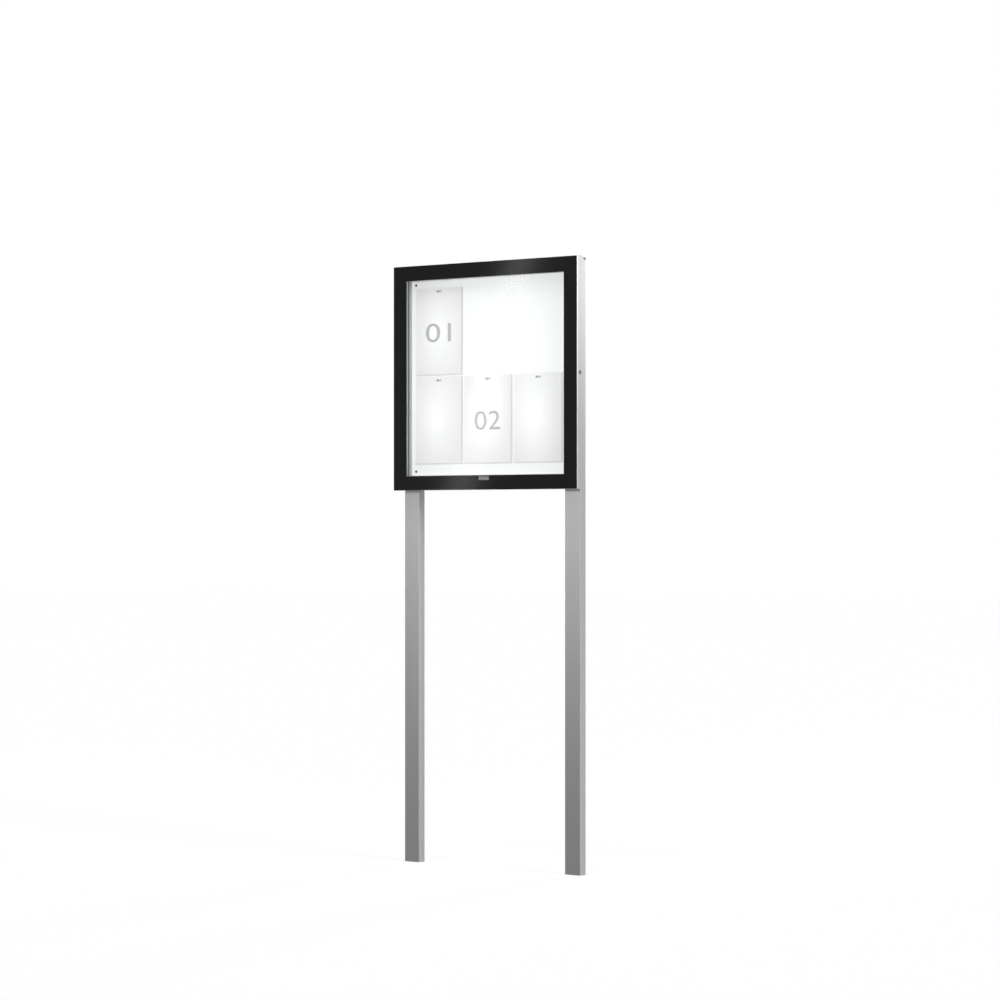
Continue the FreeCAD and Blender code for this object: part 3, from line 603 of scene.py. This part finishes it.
def buildNumber(name, text):
    values = numberValues
    low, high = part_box(name)
    curve = bpy.data.curves.new(name + "Text", "FONT")
    curve.body = text
    curve.resolution_u = 8
    mesh = plainMesh(bpy.data.objects.new(name + "Text", curve))
    points = [vertex.co.copy() for vertex in mesh.vertices]
    left, right = min(p.x for p in points), max(p.x for p in points)
    bottom, top = min(p.y for p in points), max(p.y for p in points)
    middleX = (low.x + high.x) / 2 + values["shift"][0]
    middleZ = (low.z + high.z) / 2 + values["shift"][1]
    for vertex, point in zip(mesh.vertices, points):
        x = middleX + ((point.x - left) / (right - left) - 0.5) * values["width"]
        z = middleZ + ((point.y - bottom) / (top - bottom) - 0.5) * values["height"]
        u, v = (x - low.x) / (high.x - low.x), (z - low.z) / (high.z - low.z)
        vertex.co = (x, low.y - paperHeight(u, v, curledCorners[name]) - values["proud"], z)
    return mesh


ink = printedInk()
for name, text in numberValues["texts"].items():
    newPiece(name + "Number", buildNumber(name, text), "board", "paper", [ink])
print("notices made")


# bar magnets near the sheets' top edges, blue to the left and grey to the right
magnetValues = {
    "blue": (0.27, 0.29, 0.58), "grey": (0.52, 0.54, 0.52), "rough": 0.28, "bevel": 0.0007,
    "edgeReach": 0.03,        # how far from the edge the solid magnets are looked for
}


def magnetPlastic(name, colour):
    finish = Finish(name)
    flow = finish.grain(300.0)
    scuff = finish.grain(90.0, detail=5.0)
    return finish.show(finish.body(
        colour=finish.shades(flow, colour, 0.1),
        rough=magnetValues["rough"] + scuff * 0.2,
        normal=finish.bump(flow, strength=0.05, distance=0.0002),
    ))


def magnetBox(name):
    # lowest and highest corner of the solid magnet near a sheet's top edge
    low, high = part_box(name)
    held = [
        vertex.co for vertex in nodes["notice_magnets"].data.vertices
        if low.x < vertex.co.x < high.x and abs(vertex.co.z - high.z) < magnetValues["edgeReach"]
    ]
    return [Vector([pick(point[i] for point in held) for i in range(3)]) for pick in (min, max)]


def buildMagnets():
    # one bar is made and cut at its middle, and a copy of it goes to each sheet
    boxes = [magnetBox(name) for name in curledCorners]
    size = boxes[-1][1] - boxes[-1][0]
    bm = bmesh.new()
    bmesh.ops.create_cube(bm, size=1.0, matrix=Matrix.Diagonal((*size, 1.0)))
    bmesh.ops.bevel(
        bm, geom=bm.edges[:], offset=magnetValues["bevel"], segments=3, profile=0.5, affect="EDGES"
    )
    bmesh.ops.bisect_plane(
        bm, geom=bm.verts[:] + bm.edges[:] + bm.faces[:], plane_co=(0.0, 0.0, 0.0), plane_no=(1.0, 0.0, 0.0)
    )
    for face in bm.faces:
        face.material_index = int(face.calc_center_median().x > 0.0)
    # the bevel leaves its points and faces in another order each time, so they are put in one
    slant = Vector((1.0, 1.37, 2.11))
    bm.verts.sort(key=lambda vertex: vertex.co.dot(slant))
    bm.faces.sort(key=lambda face: face.calc_center_median().dot(slant))
    bar = meshFrom("magnetBar", bm)
    bars = bmesh.new()
    for low, high in boxes:
        middle = (low + high) / 2
        bar.transform(Matrix.Translation(middle))
        bars.from_mesh(bar)
        bar.transform(Matrix.Translation(-middle))
    bpy.data.meshes.remove(bar)
    return meshFrom("noticeMagnetBars", bars)


magnetMaterials = [
    magnetPlastic("magnetBlue", magnetValues["blue"]), magnetPlastic("magnetGrey", magnetValues["grey"])
]
newPiece("noticeMagnetBars", buildMagnets(), "board", "magnet", magnetMaterials, "notice_magnets")
print("magnets made")


# a geometry tree for what repeats or follows a path
class Recipe(Nodes):
    def __init__(self, name, **inputs):
        # named inputs become the modifier's sockets; what isn't a number is a material
        group = bpy.data.node_groups.new(name, "GeometryNodeTree")
        super().__init__(group)
        self.sockets = []
        kinds = {float: "NodeSocketFloat", int: "NodeSocketInt"}
        for label, value in inputs.items():
            kind = kinds.get(type(value), "NodeSocketMaterial")
            socket = group.interface.new_socket(label, in_out="INPUT", socket_type=kind)
            self.sockets.append((socket.identifier, value))
        group.interface.new_socket("Geometry", in_out="OUTPUT", socket_type="NodeSocketGeometry")
        self.start = group.nodes.new("NodeGroupInput")

    def given(self, label):
        return Field(self.tree, self.start.outputs[label])

    def vector(self, x=0.0, y=0.0, z=0.0):
        return self.add("ShaderNodeCombineXYZ", {}, {0: x, 1: y, 2: z})

    def dome(self, x, y, z, rings):
        # a ball squeezed to two low domes, of which the rear one is sunk in what carries it
        ball = self.add("GeometryNodeMeshUVSphere", {}, {"Segments": 20, "Rings": rings, "Radius": 1.0})
        shape = self.vector(self.given(x), self.given(y), self.given(z))
        return self.add("GeometryNodeTransform", {}, {0: ball, "Scale": shape})

    def make(self, name, geometry):
        # the tree runs once, and its result is kept as a plain mesh
        whole = self.add("GeometryNodeRealizeInstances", {}, {0: geometry})
        painted = self.add("GeometryNodeSetMaterial", {}, {0: whole, "Material": self.given("finish")})
        self.end("NodeGroupOutput", painted)
        holder = bpy.data.objects.new(name + "Holder", bpy.data.meshes.new(name + "Holder"))
        modifier = holder.modifiers.new("tree", "NODES")
        modifier.node_group = self.tree
        for identifier, value in self.sockets:
            modifier[identifier] = value
        mesh = plainMesh(holder)
        mesh.name = name
        return mesh


# plugs in the panel's fixing holes: low domes with a collar
plugValues = {
    "collarRadius": 0.0045, "collarHeight": 0.0005, "domeRadius": 0.0041, "domeHeight": 0.0011,
    "solidRadius": 0.0036,        # of the solid heads, whose middles the plugs keep
}


def buildPlugs():
    values = plugValues
    low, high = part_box("hole_plugs")
    inset = 2 * values["solidRadius"]
    recipe = Recipe(
        "panelPlugs", finish=blackPlastic, spanX=high.x - low.x - inset, spanZ=high.z - low.z - inset,
        collarRadius=values["collarRadius"], collarHeight=values["collarHeight"],
        domeRadius=values["domeRadius"], domeHeight=values["domeHeight"],
    )
    spots = recipe.add(
        "GeometryNodeMeshGrid", {},
        {
            "Size X": recipe.given("spanX"), "Size Y": recipe.given("spanZ"),
            "Vertices X": 2, "Vertices Y": 2,
        },
    )
    dome = recipe.dome("domeRadius", "domeRadius", "domeHeight", 10)
    collar = recipe.add(
        "GeometryNodeMeshCylinder", {},
        {"Vertices": 24, "Radius": recipe.given("collarRadius"), "Depth": recipe.given("collarHeight")},
    )
    plug = recipe.add("GeometryNodeJoinGeometry", {}, {0: [dome, collar]})
    copies = recipe.add("GeometryNodeInstanceOnPoints", {}, {"Points": spots, "Instance": plug})
    mesh = recipe.make("panelPlugs", copies)
    standUp(mesh, low, high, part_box("back_panel")[0].y - values["collarHeight"] / 2)
    return mesh


newPiece("panelPlugs", buildPlugs(), "board", "black_plastic", [], "hole_plugs")


# domed rivets on the heads of both hinge leaves, up the middle of each leaf
rivetValues = {
    "count": 5, "end": 0.085, "radius": 0.0026, "height": 0.0006,
    "headOut": 0.0022,        # from the case's side to the face of the solid heads
    "caseLeafMiddle": 0.007,        # from the leaf's rear edge
    "doorLeafMiddle": 0.00675,        # from the case's side
}


def buildRivets(name, x, y, turn):
    values = rivetValues
    low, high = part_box("hinge_pin")
    span = high.z - low.z - 2 * values["end"]
    recipe = Recipe(
        name, finish=stainless, count=values["count"], spacing=span / (values["count"] - 1),
        radius=values["radius"], height=values["height"],
    )
    step = recipe.vector(z=recipe.given("spacing"))
    line = recipe.add("GeometryNodeMeshLine", {}, {"Count": recipe.given("count"), "Offset": step})
    dome = recipe.dome("height", "radius", "radius", 8)
    copies = recipe.add("GeometryNodeInstanceOnPoints", {}, {"Points": line, "Instance": dome})
    mesh = recipe.make(name, copies)
    lowest = Vector((x, y, low.z + values["end"]))
    mesh.transform(Matrix.Translation(lowest) @ Matrix.Rotation(math.radians(turn), 4, "Z"))
    return mesh


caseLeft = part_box("case_left")[0].x
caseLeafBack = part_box("hinge_case_leaf")[1].y
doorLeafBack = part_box("hinge_door_leaf")[1].y
caseRivets = buildRivets(
    "caseLeafRivets", caseLeft - rivetValues["headOut"], caseLeafBack - rivetValues["caseLeafMiddle"], 0
)
doorRivets = buildRivets("doorLeafRivets", caseLeft + rivetValues["doorLeafMiddle"], doorLeafBack, 90)
newPiece("caseLeafRivets", caseRivets, "board", "stainless", [])
newPiece("doorLeafRivets", doorRivets, "door", "stainless", [])
print("plugs and rivets made")


# rubber seal round the opening: a flat foot with a bulb that the door presses on
sealValues = {
    "dark": (0.085, 0.10, 0.112), "light": (0.135, 0.15, 0.158), "rough": 0.55,
    "footWide": 0.0086, "footHigh": 0.0018, "bulbWide": 0.0068, "bulbHigh": 0.0056, "bulbSunk": 0.0002,
    "inset": 0.0045, "cornerRadius": 0.006,
}


def sealRubber():
    values = sealValues
    finish = Finish("sealRubber")
    bloom = finish.grain(60.0, detail=4.0)
    skin = finish.grain(1800.0, detail=2.0)
    return finish.show(finish.body(
        colour=finish.tint(bloom, values["dark"], values["light"]),
        rough=values["rough"] + bloom * 0.2,
        normal=finish.bump(skin, strength=0.2, distance=0.0002),
    ))


def buildSeal():
    values = sealValues
    low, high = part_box("door_seal")
    recipe = Recipe(
        "doorSealLoop", finish=sealRubber(), cornerRadius=values["cornerRadius"],
        wide=high.x - low.x - 2 * values["inset"], high=high.z - low.z - 2 * values["inset"],
        footWide=values["footWide"], footHigh=values["footHigh"],
        bulbWide=values["bulbWide"], bulbHigh=values["bulbHigh"],
        bulbForward=(values["footHigh"] + values["bulbHigh"]) / 2 - values["bulbSunk"],
    )
    path = recipe.add(
        "GeometryNodeCurvePrimitiveQuadrilateral", {"mode": "RECTANGLE"},
        {"Width": recipe.given("wide"), "Height": recipe.given("high")},
    )
    path = recipe.add(
        "GeometryNodeFilletCurve", {"mode": "POLY"},
        {0: path, "Count": 6, "Radius": recipe.given("cornerRadius")},
    )
    path = recipe.add("GeometryNodeSetCurveNormal", {"mode": "Z_UP"}, {0: path})
    foot = recipe.add(
        "GeometryNodeCurvePrimitiveQuadrilateral", {"mode": "RECTANGLE"},
        {"Width": recipe.given("footWide"), "Height": recipe.given("footHigh")},
    )
    ring = recipe.add(
        "GeometryNodeCurvePrimitiveCircle", {"mode": "RADIUS"}, {"Resolution": 16, "Radius": 0.5}
    )
    shape = recipe.vector(recipe.given("bulbWide"), recipe.given("bulbHigh"), 1.0)
    forward = recipe.vector(y=recipe.given("bulbForward"))
    bulb = recipe.add("GeometryNodeTransform", {}, {0: ring, "Scale": shape, "Translation": forward})
    sections = recipe.add("GeometryNodeJoinGeometry", {}, {0: [foot, bulb]})
    swept = recipe.add("GeometryNodeCurveToMesh", {}, {"Curve": path, "Profile Curve": sections})
    mesh = recipe.make("doorSealLoop", swept)
    standUp(mesh, low, high, high.y - values["footHigh"] / 2)
    return mesh


newPiece("doorSealLoop", buildSeal(), "board", "seal_rubber", [], "door_seal")
print("seal made")


# floor and background, which both look white
stageValues = {
    "floorColour": (0.35, 0.35, 0.35), "floorMottle": 1.01, "floorGlow": 0.832, "floorReach": 40.0,
    "floorDrop": 0.0004, "ambient": 0.12,
}
whiteRays = ("Is Camera Ray", "Is Glossy Ray", "Is Transmission Ray")


def seenWhite(tree):
    # 1 for the rays that should meet a white background
    seen = [tree.add("ShaderNodeLightPath", {}, {}, ray) for ray in whiteRays]
    return (seen[0] + seen[1] + seen[2]).upTo(1.0)


def floorFinish():
    finish = Finish("paleFloor")
    dull = finish.grain(9.0)
    colour = stageValues["floorColour"]
    mottled = tuple(c * stageValues["floorMottle"] for c in colour)
    cover = finish.add("ShaderNodeBsdfDiffuse", {}, {"Color": finish.tint(dull, colour, mottled)})
    glow = finish.add("ShaderNodeEmission", {}, {"Strength": seenWhite(finish) * stageValues["floorGlow"]})
    return finish.show(finish.add("ShaderNodeAddShader", {}, {0: cover, 1: glow}))


def stageSheet(name, outline, material):
    # a flat sheet with four corners that isn't part of the object
    mesh = bpy.data.meshes.new(name)
    mesh.from_pydata(outline, [], [(0, 1, 2, 3)])
    uvLayer = mesh.uv_layers.new(name="UVMap")
    for loop, place in zip(uvLayer.data, ((0, 0), (1, 0), (1, 1), (0, 1))):
        loop.uv = place
    mesh.materials.append(material)
    sheet = bpy.data.objects.new(name, mesh)
    scene.collection.objects.link(sheet)
    return sheet


reach = stageValues["floorReach"]
floorCorners = ((-reach, -reach), (reach, -reach), (reach, reach), (-reach, reach))
stageSheet("floor", [(x, y, -stageValues["floorDrop"]) for x, y in floorCorners], floorFinish())

world = bpy.data.worlds.new("paleStudio")
scene.world = world
world.use_nodes = True
worldNodes = Nodes(world.node_tree)
worldNodes.tree.nodes.clear()
white = seenWhite(worldNodes)
sky = worldNodes.add(
    "ShaderNodeBackground", {},
    {"Color": (1.0, 1.0, 1.0, 1.0), "Strength": white + (1.0 - white) * stageValues["ambient"]},
)
worldNodes.end("ShaderNodeOutputWorld", sky)


# soft boxes with a grid: watts, place, width, aimed at, spread in degrees
softBoxes = {
    "frontBox": (4.45, (0.2, -3.2, 2.0), 1.0, (0.0, 0.0, 1.6), 45),
    "lowFrontBox": (1.60, (0.2, -2.4, 1.5), 1.2, (0.0, 0.0, 1.45), 60),
    "overheadBox": (0.51, (0.2, -0.9, 3.2), 0.9, (0.0, 0.0, 1.7), 60),
    "sideBox": (1.45, (1.6, -0.2, 2.4), 0.6, (0.4, 0.0, 2.0), 40),
}
# far lamps: level, direction they stand in, apparent size in degrees
farLamps = {
    "rightSun": (1.24, (1.0, -0.15, 0.4), 20),
    "lowRightSun": (1.16, (1.0, -0.10, 0.08), 12),
    "highFrontSun": (0.352, (0.1, -1.0, 2.0), 20),
    "rearSun": (1.9, (-0.2, 1.0, 0.12), 15),
}


def aimLamp(name, lamp, at, target):
    holder = bpy.data.objects.new(name, lamp)
    holder.location = at
    holder.rotation_euler = (Vector(target) - Vector(at)).to_track_quat("-Z", "Y").to_euler()
    scene.collection.objects.link(holder)


for name, (power, at, size, target, spread) in softBoxes.items():
    lamp = bpy.data.lights.new(name, "AREA")
    lamp.shape = "DISK"
    lamp.energy = power
    lamp.size = size
    lamp.spread = math.radians(spread)
    aimLamp(name, lamp, at, target)

for name, (level, direction, angle) in farLamps.items():
    lamp = bpy.data.lights.new(name, "SUN")
    lamp.energy = level
    lamp.angle = math.radians(angle)
    aimLamp(name, lamp, direction, (0.0, 0.0, 0.0))


# a tall soft lamp that only shows as a streak in the polished glass
streakValues = {
    "foot": (-2.647, -3.062, 1.346), "head": (-2.311, -3.062, 2.313), "halfLong": 1.1, "wide": 0.27,
    "aimedAt": (0.0, 0.0, 1.65), "glow": 6.6,
}


def streakFinish():
    # brightest along its middle, and fading to nothing at both sides
    finish = Finish("streakGlow")
    u = finish.axes("X", "UV")[0]
    soft = (1.0 - (u - 0.5).size() * 2.0).atLeast(0.0)
    soft = soft * soft * (3.0 - 2.0 * soft)
    glow = finish.add("ShaderNodeEmission", {}, {"Strength": soft * soft * streakValues["glow"]})
    clear = finish.add("ShaderNodeBsdfTransparent", {}, {})
    return finish.show(finish.add("ShaderNodeAddShader", {}, {0: glow, 1: clear}))


def streakBoard():
    foot, head = Vector(streakValues["foot"]), Vector(streakValues["head"])
    along = (head - foot).normalized()
    middle = (foot + head) / 2
    towards = (Vector(streakValues["aimedAt"]) - middle).normalized()
    side = along.cross(towards).normalized() * (streakValues["wide"] / 2)
    tall = along * streakValues["halfLong"]
    outline = [middle - side - tall, middle + side - tall, middle + side + tall, middle - side + tall]
    board = stageSheet("streakBoard", outline, streakFinish())
    for ray in ("camera", "diffuse", "transmission", "shadow"):
        setattr(board, "visible_" + ray, False)


streakBoard()
scene.view_settings.view_transform = "Standard"

cameraValues = {
    "azimuth": 39.65, "at": (7.197, -8.650, 1.1288), "lens": 120.96, "sensor": 36.0, "shiftY": 0.03085,
    "clipEnd": 200.0,
}
camera = bpy.data.objects.new("camera", bpy.data.cameras.new("camera"))
camera.location = cameraValues["at"]
camera.rotation_euler = (math.pi / 2, 0.0, math.radians(cameraValues["azimuth"]))
camera.data.lens = cameraValues["lens"]
camera.data.sensor_width = cameraValues["sensor"]
camera.data.shift_y = cameraValues["shiftY"]
camera.data.clip_end = cameraValues["clipEnd"]
scene.collection.objects.link(camera)
scene.camera = camera
print("stage, light and camera made")
